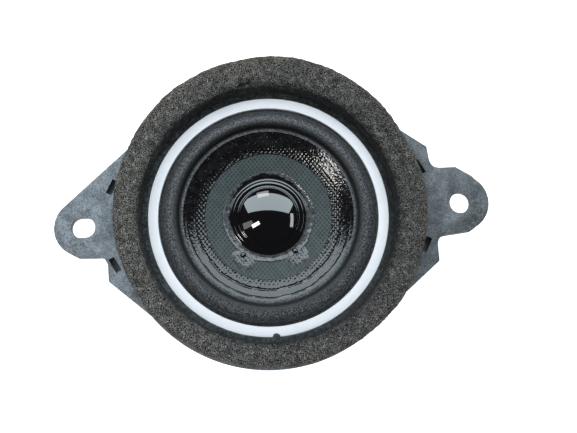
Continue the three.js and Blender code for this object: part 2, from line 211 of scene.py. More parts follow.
def ramp(tree, fac, stops):
    """A colour ramp. stops are (place, colour) pairs."""
    node = add(tree, "ShaderNodeValToRGB", inputs={"Fac": fac})
    elements = node.color_ramp.elements
    while len(elements) < len(stops):
        elements.new(0.5)
    for element, (place, colour) in zip(elements, stops):
        element.position = place
        element.color = (*colour, 1)
    return node.outputs["Color"]


def math_of(tree, operation, a, b=0.0):
    return add(tree, "ShaderNodeMath", {"operation": operation}, {0: a, 1: b}).outputs[0]


def mixed(tree, fac, a, b, blend="MIX"):
    """Two colours blended. A colour is a socket or three numbers."""
    a, b = ((*colour, 1) if isinstance(colour, tuple) else colour for colour in (a, b))
    settings = {"data_type": "RGBA", "blend_type": blend}
    return add(tree, "ShaderNodeMix", settings, {0: fac, 6: a, 7: b}).outputs[2]


def tinted(tree, colour, *tints):
    """The colour multiplied by each tint."""
    for tint in tints:
        colour = mixed(tree, 1.0, colour, tint, "MULTIPLY")
    return colour


def bump(tree, shader, height, distance, strength=1.0, before=None):
    """Bump of the given depth in millimetres. Returns the normal, so that a second bump can follow."""
    inputs = {"Height": height, "Distance": distance * MM, "Strength": strength}
    if before is not None:
        inputs["Normal"] = before
    normal = add(tree, "ShaderNodeBump", inputs=inputs).outputs["Normal"]
    tree.links.new(normal, shader.inputs["Normal"])
    return normal


def level(tree, fac, low, high):
    """Maps 0..1 to low..high."""
    inputs = {"Value": fac, "To Min": low, "To Max": high}
    return add(tree, "ShaderNodeMapRange", inputs=inputs).outputs["Result"]


def share_of(tree, value, low, high):
    """Maps low..high to 0..1."""
    inputs = {"Value": value, "From Min": low, "From Max": high}
    return add(tree, "ShaderNodeMapRange", inputs=inputs).outputs["Result"]


def coordinate_of(tree, where, axis):
    return add(tree, "ShaderNodeSeparateXYZ", inputs={"Vector": where}).outputs[axis]


def radius_of(tree, where):
    """Distance from the speaker axis, in millimetres."""
    inputs = {axis: coordinate_of(tree, where, axis) for axis in "XY"}
    flat = add(tree, "ShaderNodeCombineXYZ", inputs=inputs)
    return add(tree, "ShaderNodeVectorMath", {"operation": "LENGTH"}, {0: flat.outputs[0]}).outputs["Value"]


def bands(tree, radius, low, high, stops):
    """A colour ramp across the radii from low to high millimetres; stops give radii."""
    stops = [((r - low) / (high - low), colour) for r, colour in stops]
    return ramp(tree, share_of(tree, radius, low, high), stops)


def left_to_right(tree, where, left, right):
    """A tint that changes from left to right over the part."""
    share = share_of(tree, coordinate_of(tree, where, "X"), -50, 50)
    return ramp(tree, share, [(0.2, left), (0.8, right)])


# Materials

def moulded_plastic(name, dark, light, roughness):
    """Moulded plastic: cloudy colour, fine grain, scuffs and uneven gloss."""
    material, tree, shader = new_material(name)
    where = place_in_mm(tree)
    clouds = ramp(tree, noise_of(tree, where, 3.6, 8, 0.68), [(0.4, dark), (0.62, light)])
    specks = noise_of(tree, where, 0.35, 2)
    spotted = ramp(tree, specks, [(0.36, (0.25, 0.25, 0.27)), (0.56, (1.06, 1.06, 1.06))])
    patches = level(tree, noise_of(tree, where, 7.0, 3), 0.6, 1.5)
    flecks = math_of(tree, "MULTIPLY", noise_of(tree, where, 0.7, 4, 0.7), patches)
    scuffs = ramp(tree, flecks, [(0.57, WHITE), (0.64, (0.5, 0.5, 0.5))])
    fill(tree, shader, {
        "Base Color": tinted(tree, mixed(tree, 0.75, clouds, spotted, "MULTIPLY"), scuffs),
        "Roughness": level(tree, noise_of(tree, where, 2.2, 4), roughness - 0.1, roughness + 0.12),
    })
    bump(tree, shader, specks, 0.03, 0.7)
    return material


def frame_plastic():
    """The frame's plastic: scuffed grey on top, with painted light that makes it paler on the left and darker
    on the right, and painted shade that darkens it below the ears' top face and makes it nearly black inside
    the foam.
    """
    material = moulded_plastic("frame_plastic", (0.12, 0.145, 0.165), (0.245, 0.285, 0.312), 0.46)
    tree = material.node_tree
    shader = tree.nodes["Principled BSDF"]
    ears = shader.inputs["Base Color"].links[0].from_socket
    where = place_in_mm(tree)
    # Painted shade: inside the foam's inner edge, on the flange band, the recess and the bowl, the plastic is
    # darkened with mottled black.
    outside = bands(tree, radius_of(tree, where), 30, 40, [(36.0, BLACK), (36.6, WHITE)])
    spots = noise_of(tree, where, 0.9, 4, 0.7)
    mottled_flange_shade = ramp(tree, spots, [(0.42, (0.03, 0.035, 0.03)), (0.6, (0.24, 0.265, 0.255))])
    dark = mixed(tree, outside, mottled_flange_shade, WHITE)
    # Painted shade: below the ears' top face the colour is darkened, on the walls of the holes and pockets
    # and underneath.
    rise = share_of(tree, coordinate_of(tree, where, "Z"), EAR_TOP - 0.4, EAR_TOP - 0.15)
    painted_shade_below = ramp(tree, rise, [(0, (0.3, 0.28, 0.26)), (1, WHITE)])
    shade = mixed(tree, 1.0, dark, painted_shade_below, "DARKEN")
    # Painted light, not dust: the plastic is made paler on the left and darker on the right.
    dust = left_to_right(tree, where, (1.14, 1.16, 1.18), (0.66, 0.655, 0.645))
    fill(tree, shader, {"Base Color": tinted(tree, ears, shade, dust), "Specular IOR Level": 0.25})
    return material


def foam_material():
    """Open-cell foam: dark pores between lighter struts, with a few painted glints, painted shade on the
    inner wall and towards the right, and a warmer rim outside.
    """
    material, tree, shader = new_material("open_cell_foam")
    where = place_in_mm(tree)
    warp = add(tree, "ShaderNodeTexNoise", inputs={"Vector": where, "Scale": 1.3, "Detail": 2.0})
    inputs = {0: where, 1: warp.outputs["Color"]}
    bent = add(tree, "ShaderNodeVectorMath", {"operation": "ADD"}, inputs).outputs[0]
    pores = cells_of(tree, bent, 0.5)
    fine = cells_of(tree, bent, 0.26)
    struts = ramp(tree, pores, [(0.02, (0.15, 0.147, 0.142)), (0.17, (0.003, 0.003, 0.003))])
    threads = ramp(tree, fine, [(0.02, (1.5, 1.5, 1.5)), (0.4, (0.35, 0.35, 0.35))])
    tint = ramp(tree, noise_of(tree, where, 9.0), [(0.3, (0.85, 0.86, 0.88)), (0.7, (1.1, 1.07, 1.0))])
    clumps = noise_of(tree, where, 2.0, 4, 0.7)
    blotches = ramp(tree, clumps, [(0.36, (0.5, 0.5, 0.5)), (0.62, (1.45, 1.43, 1.4))])
    # Painted glints: sparse bright specks added to the foam's colour.
    glint = ramp(tree, noise_of(tree, where, 0.34, 1), [(0.66, BLACK), (0.74, (0.42, 0.42, 0.41))])
    # Painted shade: the inner wall and its rounded edge are darkened; the outer rim is made warmer and
    # lighter.
    walls = bands(tree, radius_of(tree, where), 35, 45, [
        (35.4, (0.26, 0.29, 0.31)),
        (35.8, (0.78, 0.8, 0.82)),
        (37.8, (1.0, 1.01, 1.02)),
        (41.5, (1.02, 1.02, 1.01)),
        (44.0, (1.2, 1.15, 1.0)),
    ])
    # Painted shade: the foam is darker towards the right.
    shade = left_to_right(tree, where, (1.0, 1.01, 1.0), (0.74, 0.75, 0.76))
    cells = mixed(tree, 1.0, tinted(tree, struts, threads, tint, blotches), glint, "ADD")
    fill(tree, shader, {
        "Base Color": tinted(tree, cells, shade, walls),
        "Roughness": 0.9,
        "Specular IOR Level": 0.2,
    })
    first = bump(tree, shader, pores, 0.3, 0.9)
    bump(tree, shader, fine, 0.12, 0.8, first)
    return material


def spider_material():
    """Resin-dipped cloth with a fine even grain."""
    material, tree, shader = new_material("spider_cloth")
    where = place_in_mm(tree)
    grain = noise_of(tree, where, 0.3, 3, 0.6)
    colour = ramp(tree, grain, [(0.35, (0.35, 0.2, 0.07)), (0.66, (0.62, 0.42, 0.2))])
    worn = ramp(tree, noise_of(tree, where, 4.0, 4), [(0.3, (0.82, 0.84, 0.86)), (0.7, (1.12, 1.12, 1.12))])
    fill(tree, shader, {"Base Color": tinted(tree, colour, worn), "Roughness": 0.7})
    bump(tree, shader, grain, 0.05, 0.8)
    return material


def surround_material():
    """Grained rubbery cloth, with painted light along the crest of the roll and painted shade in the valleys
    beside it.
    """
    material, tree, shader = new_material("surround_cloth")
    where = place_in_mm(tree)
    grain = noise_of(tree, where, 0.4, 3, 0.7)
    colour = ramp(tree, grain, [(0.44, (0.009, 0.01, 0.012)), (0.6, (0.135, 0.147, 0.159))])
    # Painted light and shade: the lip and the crest of the roll are lighter, the valleys beside the crest
    # darker, and the outer slope darker towards the frame.
    painted_crest_light_and_valley_shade = bands(tree, radius_of(tree, where), 23.5, 33.0, [
        (23.7, (0.95, 1.0, 1.05)),
        (24.4, (0.85, 0.9, 0.95)),
        (24.7, (0.08, 0.08, 0.08)),
        (26.0, (0.14, 0.14, 0.15)),
        (27.7, (0.95, 0.97, 1.0)),
        (29.0, (0.7, 0.7, 0.7)),
        (30.4, (0.5, 0.5, 0.5)),
    ])
    fill(tree, shader, {
        "Base Color": tinted(tree, colour, painted_crest_light_and_valley_shade),
        "Roughness": level(tree, noise_of(tree, where, 3.0), 0.5, 0.68),
        "Specular IOR Level": 0.3,
    })
    bump(tree, shader, grain, 0.09, 0.9)
    return material


def weave_height(tree, where):
    """Plain weave from 0 to 1: crests and gaps in a staggered lattice."""
    waves = []
    for axis, pitch in zip("XY", WEAVE_PITCH):
        turns = math_of(tree, "MULTIPLY", coordinate_of(tree, where, axis), 2 * math.pi / pitch)
        waves.append(math_of(tree, "SINE", turns))
    product = math_of(tree, "MULTIPLY", *waves)
    return math_of(tree, "ADD", math_of(tree, "MULTIPLY", product, 0.5), 0.5)


def cone_cloth_material():
    """Matte woven cloth, grey green, with dark gaps between its threads."""
    material, tree, shader = new_material("cone_cloth")
    where = place_in_mm(tree, WEAVE_TURN)
    colour = ramp(tree, weave_height(tree, where), [
        (0.08, (0.004, 0.006, 0.006)),
        (0.3, (0.034, 0.052, 0.054)),
        (0.9, (0.045, 0.067, 0.071)),
    ])
    patches = ramp(tree, noise_of(tree, where, 2.4, 4), [(0.3, (0.7, 0.72, 0.7)), (0.72, (1.15, 1.15, 1.15))])
    fill(tree, shader, {
        "Base Color": tinted(tree, colour, patches),
        "Roughness": 0.6,
        "Specular IOR Level": 0.25,
    })
    bump(tree, shader, noise_of(tree, where, 0.3, 2), 0.03, 0.6)
    return material


def coating_material():
    """Glossy black coating, finely uneven, with painted glints as sparse grey specks in the look of dust."""
    material, tree, shader = new_material("coating")
    where = place_in_mm(tree, WEAVE_TURN)
    blotches = noise_of(tree, where, 1.8, 4)
    black = ramp(tree, blotches, [(0.4, (0.003, 0.003, 0.0035)), (0.7, (0.012, 0.012, 0.013))])
    # Painted glints in the look of dust: sparse grey specks added to the black.
    dust = ramp(tree, noise_of(tree, where, 0.42, 2, 0.6), [(0.67, BLACK), (0.75, (0.25, 0.25, 0.28))])
    fill(tree, shader, {
        "Base Color": mixed(tree, 1.0, black, dust, "ADD"),
        "Roughness": level(tree, noise_of(tree, where, 0.9, 3), 0.04, 0.13),
        "IOR": 1.48,
    })
    strength = level(tree, noise_of(tree, where, 4.0, 2), 0.3, 1.0)
    first = bump(tree, shader, noise_of(tree, where, 0.42, 2), 0.045, strength)
    bump(tree, shader, noise_of(tree, where, 1.3, 2), 0.03, 0.6, first)
    return material


def glue_material():
    """Milky adhesive over the cloth, glossy and pitted, with painted shadow and painted dark reflection that
    make it black close behind the cap.
    """
    material, tree, shader = new_material("adhesive")
    where = place_in_mm(tree)
    mist = noise_of(tree, where, 1.1, 5, 0.65)
    clouds = ramp(tree, mist, [(0.35, (0.025, 0.029, 0.032)), (0.66, (0.11, 0.118, 0.126))])
    # Painted shadow and painted dark reflection: the film is black close to the cap, reaching further out on
    # the +Y side.
    wobble = level(tree, noise_of(tree, where, 2.0, 3), -0.9, 0.9)
    lean = math_of(tree, "MULTIPLY", coordinate_of(tree, where, "Y"), 0.11)
    reach = math_of(tree, "ADD", math_of(tree, "SUBTRACT", radius_of(tree, where), lean), wobble)
    painted_shade_behind_cap = ramp(tree, share_of(tree, reach, 10.0, 12.0), [(0.42, (0.05, 0.05, 0.05)), (0.56, WHITE)])
    fill(tree, shader, {
        "Base Color": tinted(tree, clouds, painted_shade_behind_cap),
        "Roughness": level(tree, noise_of(tree, where, 0.7, 3), 0.06, 0.22),
        "Specular IOR Level": 0.4,
    })
    bump(tree, shader, noise_of(tree, where, 0.5, 2), 0.04, 0.8)
    return material


def dome_material():
    """High gloss black moulding with faint swirls and dust."""
    material, tree, shader = new_material("dome_gloss")
    where = place_in_mm(tree)
    dust = noise_of(tree, where, 0.25, 2)
    fill(tree, shader, {
        "Base Color": ramp(tree, dust, [(0.72, (0.002, 0.002, 0.0025)), (0.8, (0.03, 0.03, 0.03))]),
        "Roughness": level(tree, noise_of(tree, where, 3.0, 3), 0.03, 0.07),
        "IOR": 1.55,
        "Coat Weight": 0.5,
        "Coat Roughness": 0.03,
    })
    bump(tree, shader, noise_of(tree, where, 2.5, 2), 0.01, 0.5)
    return material


def white_plastic():
    """Satin white moulding, faintly clouded."""
    material, tree, shader = new_material("white_ring_plastic")
    where = place_in_mm(tree)
    clouds = noise_of(tree, where, 6.0, 4)
    fill(tree, shader, {
        "Base Color": ramp(tree, clouds, [(0.3, (0.8, 0.845, 0.9)), (0.7, (0.86, 0.89, 0.93))]),
        "Roughness": level(tree, noise_of(tree, where, 1.5), 0.38, 0.55),
    })
    bump(tree, shader, noise_of(tree, where, 0.3), 0.01, 0.5)
    return material


def worn_metal(name, dark, light, roughness, streak=(1, 1, 1)):
    """Plated or machined metal with fine streaks and spots."""
    material, tree, shader = new_material(name)
    streaks = noise_of(tree, place_in_mm(tree, 0, streak), 0.5, 5, 0.65)
    spots = noise_of(tree, place_in_mm(tree), 3.5, 4)
    fill(tree, shader, {
        "Base Color": ramp(tree, spots, [(0.3, dark), (0.65, light)]),
        "Metallic": 1.0,
        "Roughness": level(tree, streaks, roughness - 0.1, roughness + 0.15),
    })
    bump(tree, shader, streaks, 0.012, 0.6)
    return material
# Mesh helpers

FINE_STEPS = 256  # round the pieces that show most
PLAIN_STEPS = 128
HASH_PRIMES = np.array([374761393, 668265263, 2147483647])
SIDES = {-1: "left", 1: "right"}


def value_noise(points, size, seed=0):
    """Smooth noise from -1 to 1 at an (n, 3) array of points, with features of the given size."""
    cell = np.floor(points / size).astype(np.int64)
    part = points / size - cell
    part = part * part * (3 - 2 * part)
    total = np.zeros(len(points))
    for corner in range(8):
        step = np.array([corner & 1, corner >> 1 & 1, corner >> 2 & 1])
        key = (cell + step) @ HASH_PRIMES + seed * 974711
        key = (key ^ (key >> 13)) * 1274126177
        key = (key ^ (key >> 16)) & 0xFFFF
        weight = np.prod(np.where(step, part, 1 - part), axis=1)
        total += weight * (key / 0x7FFF - 1)
    return total


def layered_noise(points, size, layers, seed=0):
    total = np.zeros(len(points))
    for i in range(layers):
        total += value_noise(points, size / 2**i, seed + i) / 2**i
    return total


def noise_on(grid, size, seed):
    """The noise at a grid of points, in the grid's own shape."""
    return value_noise(grid.reshape(-1, 3), size, seed).reshape(grid.shape[:-1])


def noise_round(angle, radius, size, seed):
    """Noise that varies only round the axis, as on a circle of the given radius."""
    return noise_on(to_points(np.full_like(angle, radius), angle, angle * 0), size, seed)


def new_mesh(name, points, faces, weld=False):
    """A mesh from points in millimetres, facing out."""
    mesh = bpy.data.meshes.new(name)
    mesh.from_pydata(np.asarray(points, float) * MM, [], faces)
    shape = bmesh.new()
    shape.from_mesh(mesh)
    if weld:
        bmesh.ops.remove_doubles(shape, verts=shape.verts, dist=1e-6)
        bmesh.ops.dissolve_degenerate(shape, edges=shape.edges, dist=1e-7)
    bmesh.ops.recalc_face_normals(shape, faces=shape.faces)
    shape.to_mesh(mesh)
    shape.free()
    return mesh


def make_piece(name, points, faces, material, body, slot, smooth_angle=38):
    """A mesh object from points in millimetres, with smooth faces apart from its sharp edges."""
    mesh = new_mesh(name, points, faces, weld=True)
    smooth(mesh, smooth_angle)
    mesh.materials.append(material)
    piece = new_object(name, mesh)
    if body:
        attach(piece, body)
    return piece


def smooth(mesh, angle):
    mesh.polygons.foreach_set("use_smooth", [True] * len(mesh.polygons))
    mesh.set_sharp_from_angle(angle=math.radians(angle))


def ring_points(section, steps):
    """(steps, n, 3) points of a closed section of (radius, z) pairs, turned about Z."""
    section = np.asarray(section, float)
    angle = np.arange(steps)[:, None] * 2 * math.pi / steps
    return to_points(section[:, 0], angle, np.broadcast_to(section[:, 1], (steps, len(section))))


def ring_faces(steps, count):
    faces = []
    for a in range(steps):
        b = (a + 1) % steps
        for i in range(count):
            j = (i + 1) % count
            faces.append((a * count + i, b * count + i, b * count + j, a * count + j))
    return faces


def turned(name, section, material, body, slot, steps=FINE_STEPS, smooth_angle=38):
    points = ring_points(section, steps).reshape(-1, 3)
    return make_piece(name, points, ring_faces(steps, len(section)), material, body, slot, smooth_angle)


def rounded(corners, arc_steps=4):
    """A closed section from (radius, z, rounding) corners, with an arc at each corner that has a rounding."""
    section = []
    for i, (x, y, rounding) in enumerate(corners):
        here = Vector((x, y))
        if rounding == 0:
            section.append((x, y))
            continue
        before = Vector(corners[i - 1][:2]) - here
        after = Vector(corners[(i + 1) % len(corners)][:2]) - here
        reach = min(rounding, 0.45 * before.length, 0.45 * after.length)
        start = here + before.normalized() * reach
        end = here + after.normalized() * reach
        for k in range(arc_steps + 1):
            t = k / arc_steps
            point = start * (1 - t) ** 2 + here * 2 * t * (1 - t) + end * t**2
            section.append((point.x, point.y))
    return section


def thick_line(line, thickness):
    """The closed section of a sheet whose middle runs along the line of (radius, z) points."""
    line = np.asarray(line, float)
    along = np.gradient(line, axis=0)
    along /= np.linalg.norm(along, axis=1)[:, None]
    side = np.stack([along[:, 1], -along[:, 0]], axis=1) * thickness / 2
    on_axis = line[:, 0] < 1e-6
    side[on_axis] = (0, -thickness / 2)
    return np.concatenate([line + side, (line - side)[::-1]])


def sheet_between(name, grid_top, grid_bottom, material, body, slot):
    """A closed ring-shaped sheet from two (steps, n, 3) grids of points."""
    both = np.concatenate([grid_top, grid_bottom[:, ::-1]], axis=1)
    steps, count = both.shape[:2]
    return make_piece(name, both.reshape(-1, 3), ring_faces(steps, count), material, body, slot, 60)


def polar_grid(inner, outer, rows, steps):
    """The radii and the angles of a round grid, as two (steps, rows) arrays."""
    radius = np.linspace(inner, outer, rows)
    angle = np.arange(steps) * 2 * math.pi / steps
    return np.meshgrid(radius, angle)


def to_points(radius, angle, z):
    return np.stack([radius * np.cos(angle), radius * np.sin(angle), z], axis=-1)


def box_points(low, high):
    corners = []
    for z in (low[2], high[2]):
        for x, y in ((low[0], low[1]), (high[0], low[1]), (high[0], high[1]), (low[0], high[1])):
            corners.append((x, y, z))
    faces = [(0, 3, 2, 1), (4, 5, 6, 7), (0, 1, 5, 4), (1, 2, 6, 5), (2, 3, 7, 6), (3, 0, 4, 7)]
    return corners, faces


def tool_mesh(points, faces):
    """A passing object for a boolean cut or join, or the start of a piece made by them."""
    return new_object("tool", new_mesh("tool", points, faces))


def combine(piece, tool, operation):
    """Applies an exact boolean to the piece and removes the tool."""
    modifier = piece.modifiers.new("cut", "BOOLEAN")
    modifier.object = tool
    modifier.operation = operation
    modifier.solver = "EXACT"
    apply_modifiers(piece)
    bpy.data.objects.remove(tool)


def apply_modifiers(piece):
    bpy.context.view_layer.update()
    graph = bpy.context.evaluated_depsgraph_get()
    mesh = bpy.data.meshes.new_from_object(piece.evaluated_get(graph))
    old = piece.data
    piece.modifiers.clear()
    piece.data = mesh
    bpy.data.meshes.remove(old)


def bevel(piece, width):
    modifier = piece.modifiers.new("bevel", "BEVEL")
    modifier.width = width * MM
    modifier.segments = 2
    modifier.limit_method = "ANGLE"
    modifier.angle_limit = math.radians(35)
    modifier.harden_normals = False
    apply_modifiers(piece)
    smooth(piece.data, 40)


def prism(outline, low, high):
    """Points and faces of a flat outline in X and Y, raised from one height to another."""
    count = len(outline)
    points = [(x, y, low) for x, y in outline] + [(x, y, high) for x, y in outline]
    faces = [tuple(range(count))[::-1], tuple(range(count, 2 * count))]
    for i in range(count):
        j = (i + 1) % count
        faces.append((i, j, count + j, count + i))
    return points, faces


def arc(centre_x, centre_y, radius, start, end, steps):
    """Points along an arc, its angles in degrees."""
    angles = np.radians(np.linspace(start, end, steps + 1))
    return [(centre_x + radius * math.cos(a), centre_y + radius * math.sin(a)) for a in angles]


def curve(start, middle, end):
    """Points along a bend from start to end that heads for middle."""
    found = []
    for t in np.linspace(0, 1, 6):
        weights = ((1 - t) ** 2, 2 * t * (1 - t), t**2)
        found.append(tuple(sum(w * p[i] for w, p in zip(weights, (start, middle, end))) for i in (0, 1)))
    return found


# Frame moulding

EAR_THICKNESS = 2.5
EAR_BOTTOM = EAR_TOP - EAR_THICKNESS
FLANGE_RADIUS = BASKET_HIGH.y
RECESS_RADIUS = RING_HIGH.x + 0.2
RECESS_FLOOR = SURROUND_LOW.z - 0.2
BOWL_MOUTH = 29.6
BOWL_WALL = 2.4
LEDGE_RADIUS = 21.6
LEDGE_TOP = 18.4
LEDGE_BORE = 18.9
HUB_RADIUS = 18.6
HUB_BOTTOM = 9.5
SEAT_BORE = 12.2
MOTOR_TOP = YOKE_HIGH.z
ROUND_HOLE = (54.0, 2.9)  # X and radius
SLOT = (-52.0, 2.8, 0.6)  # X, half width, half of its straight part
EAR_END_RADIUS = 8.05
POCKET = {"x": 43.5, "y": 11.0, "length": 4.3, "width": 1.7, "tilt": math.radians(62)}
POCKET_BOSS = 1.2  # how far the closed end of a pocket stands below the ear
POCKET_WALL = 0.9
POCKET_DEPTH = 2.6
WINDOW = {"half": 6.5, "low": 19.6, "high": 26.4, "corner": 1.6}
WINDOW_PLACES = (0, 1, 2, 3, 5)  # of six places; the terminal board fills the other
GUSSET_Y = 4.5
GUSSET_THICKNESS = 1.8
BOARD = ((-8.5, -31.4, 18), (8.5, -24.5, 25.5))
KEY_RADIUS = 0.9
PIN_HOLE = (1.5, 0.6)  # half its width and half its height
TERMINAL_X = 3.2
TERMINAL_Z = 22.0


def right_ear():
    outline = [(34.1, 25.8), (46.1, 16.7), (46.4, 13.4)]
    outline += curve((46.4, 13.4), (46.6, 10.5), (49.3, 10.4))[1:]
    outline += [(53.7, 10.3), (58, 7.4)]
    outline += arc(ROUND_HOLE[0], 0, EAR_END_RADIUS, 54, -54, 18)
    outline += [(56, -8.3), (49.2, -8.9)]
    outline += curve((49.2, -8.9), (46.7, -9), (46.7, -11.5))[1:]
    outline += [(46.7, -15.9), (33.7, -26.3)]
    return outline


def left_ear():
    outline = [(-34.0, -25.9), (-45.4, -15.6), (-45.5, -11)]
    outline += curve((-45.5, -11), (-45.6, -8.9), (-47.4, -8.8))[1:]
    outline += [(-53.6, -8.5)]
    outline += arc(SLOT[0] - 0.1, 0, EAR_END_RADIUS, 237, 130, 18)
    outline += [(-35.0, 24.6)]
    return outline


def pockets():
    """The place and turn of the four slanted pockets in the ears."""
    for side_x in (-1, 1):
        for side_y in (-1, 1):
            yield (side_x * POCKET["x"], side_y * POCKET["y"]), -side_x * side_y * POCKET["tilt"]


def swung(points, angle):
    """The points turned about Z."""
    cos, sin = math.cos(angle), math.sin(angle)
    return [(cos * x - sin * y, sin * x + cos * y, z) for x, y, z in points]


def turned_box(centre, size, angle):
    points, faces = box_points([-s / 2 for s in size], [s / 2 for s in size])
    return [tuple(p + c for p, c in zip(point, centre)) for point in swung(points, angle)], faces


def gusset(side, y):
    """The rib under an ear, as a flat outline in X and Z given a thickness in Y."""
    top = EAR_BOTTOM + 0.3
    outline = [(30.4, top), (24.4, EAR_BOTTOM - 6), (45, EAR_BOTTOM - 2), (47, top)]
    points, faces = prism(outline, y - GUSSET_THICKNESS / 2, y + GUSSET_THICKNESS / 2)
    return [(side * x, z, height) for x, height, z in points], faces


def window_cut(angle):
    """A cutter for one window in the bowl's wall, with rounded corners."""
    half, low, high, corner = WINDOW["half"], WINDOW["low"], WINDOW["high"], WINDOW["corner"]
    outline = []
    for x, z, start in ((half, low, 270), (half, high, 0), (-half, high, 90), (-half, low, 180)):
        middle_x = x - math.copysign(corner, x)
        middle_z = z + (corner if z == low else -corner)
        outline += arc(middle_x, middle_z, corner, start, start + 90, 4)
    points, faces = prism(outline, SEAT_BORE, FLANGE_RADIUS)
    return swung([(r, x, z) for x, z, r in points], angle), faces


def bowl_section():
    """The turned part of the frame: hub, bowl, flange, and the ledges inside it."""
    bore = YOKE_HIGH.x + 0.3
    return rounded([
        (bore, HUB_BOTTOM, 0.3),
        (HUB_RADIUS - 0.4, HUB_BOTTOM, 0.6),
        (HUB_RADIUS, LEDGE_TOP - 2.9, 1.2),
        (LEDGE_RADIUS + 0.8, LEDGE_TOP - 1.8, 1.5),
        (BOWL_MOUTH + BOWL_WALL, EAR_BOTTOM, 1.2),
        (FLANGE_RADIUS, EAR_BOTTOM, 0.4),
        (FLANGE_RADIUS, EAR_TOP, 0.4),
        (RECESS_RADIUS, EAR_TOP, 0.2),
        (RECESS_RADIUS, RECESS_FLOOR, 0.2),
        (BOWL_MOUTH, RECESS_FLOOR, 0.3),
        (BOWL_MOUTH, EAR_BOTTOM, 0.5),
        (LEDGE_RADIUS, LEDGE_TOP + 1.2, 0.5),
        (LEDGE_RADIUS, LEDGE_TOP, 0.2),
        (LEDGE_BORE, LEDGE_TOP, 0.3),
        (LEDGE_BORE - 1.5, LEDGE_TOP - 2.9, 0.8),
        (SEAT_BORE, MOTOR_TOP + 1.6, 0.3),
        (SEAT_BORE, MOTOR_TOP + 0.3, 0.2),
        (bore, MOTOR_TOP + 0.3, 0),
    ], 3)


def frame_additions():
    """Ears, gussets, terminal board, the key for the white ring, and the closed ends of the pockets."""
    for ear in (right_ear(), left_ear()):
        yield prism(ear, EAR_BOTTOM, EAR_TOP)
    for side in SIDES:
        for y in (-GUSSET_Y, GUSSET_Y):
            yield gusset(side, y)
    yield box_points(*BOARD)
    yield prism(arc(0, -RECESS_RADIUS, KEY_RADIUS, 0, 360, 24)[:-1], EAR_BOTTOM, RING_HIGH.z + 0.1)
    size = (POCKET["length"] + 2 * POCKET_WALL, POCKET["width"] + 2 * POCKET_WALL, 2 * POCKET_BOSS)
    for place, turn in pockets():
        yield turned_box((*place, EAR_BOTTOM + 0.1), size, turn)


def frame_cuts():
    """The two screw holes, the pins' holes through the board, and the pockets."""
    hole = arc(ROUND_HOLE[0], 0, ROUND_HOLE[1], 0, 360, 48)[:-1]
    x, half_width, half_straight = SLOT
    slot = arc(x + half_straight, 0, half_width, -90, 90, 20)
    slot += arc(x - half_straight, 0, half_width, 90, 270, 20)
    for outline in (hole, slot):
        yield prism(outline, EAR_BOTTOM - 3, EAR_TOP + 3)
    wide, tall = PIN_HOLE
    for side in SIDES:
        x = side * TERMINAL_X
        yield box_points((x - wide, -FLANGE_RADIUS, TERMINAL_Z - tall), (x + wide, -20, TERMINAL_Z + tall))
    for place, turn in pockets():
        yield turned_box((*place, EAR_TOP), (POCKET["length"], POCKET["width"], 2 * POCKET_DEPTH), turn)


def make_basket(material):
    section = bowl_section()
    points = ring_points(section, PLAIN_STEPS).reshape(-1, 3)
    piece = solid_from((points, ring_faces(PLAIN_STEPS, len(section))), "frame_moulding")
    for i in WINDOW_PLACES:
        combine(piece, tool_mesh(*window_cut(math.radians(30 + 60 * i))), "DIFFERENCE")
    for addition in frame_additions():
        combine(piece, tool_mesh(*addition), "UNION")
    for cut in frame_cuts():
        combine(piece, tool_mesh(*cut), "DIFFERENCE")
    bevel(piece, 0.22)
    finish_piece(piece, material, "frame", "basket")


def solid_from(points_and_faces, name):
    piece = tool_mesh(*points_and_faces)
    piece.name = name
    return piece


def finish_piece(piece, material, body, node):
    piece.data.materials.clear()
    piece.data.materials.append(material)
    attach(piece, body)
    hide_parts(node)


# Front rings

FOAM_INNER = 35.4
FOAM_OUTER = FOAM_HIGH.x + 1.0
FOAM_SHIFT = (0.6, 1.05)  # how far the foam's outer edge sits off the axis
FOAM_SEAM = math.radians(96.2)
FOAM_DIP = math.radians(26)  # where the outline is pressed in
FOAM_STEPS = 900


